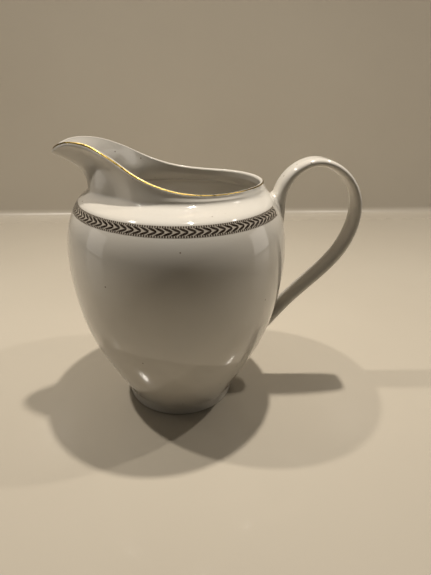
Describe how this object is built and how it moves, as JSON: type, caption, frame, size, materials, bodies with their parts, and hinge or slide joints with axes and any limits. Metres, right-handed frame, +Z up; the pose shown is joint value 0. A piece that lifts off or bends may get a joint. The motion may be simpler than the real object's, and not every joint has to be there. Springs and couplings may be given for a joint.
{
  "type": "milk pitcher",
  "caption": "Small glazed bone-china pitcher with a pulled pouring spout, a tall loop handle, a low foot ring, a gilded lip line and a printed laurel band.",
  "frame": {"origin": "on the surface the pitcher stands on, under the middle of its overall box", "axes": "+Z up, -X towards the pouring spout, +X towards the handle, symmetric about the XZ plane"},
  "size_m": [0.1308, 0.0944, 0.1202],
  "materials": {
    "glazed_china": "warm white bone china under a clear gloss glaze",
    "foot_china": "gloss glaze, bare and matt on the tread",
    "handle_china": "warm white bone china under a clear gloss glaze",
    "joint_china": "slip joint under the same gloss glaze",
    "gilding": "thin burnished gold line, modelled as a thin solid",
    "laurel_print": "dark on-glaze print of laurel leaves, modelled as a thin sleeve"
  },
  "bodies": {
    "root": {"jug_body": "glazed_china", "foot_ring": "foot_china", "handle": "handle_china", "upper_handle_joint": "joint_china", "lower_handle_joint": "joint_china", "rim_gilding": "gilding", "laurel_band": "laurel_print"}
  },
  "joints": []
}
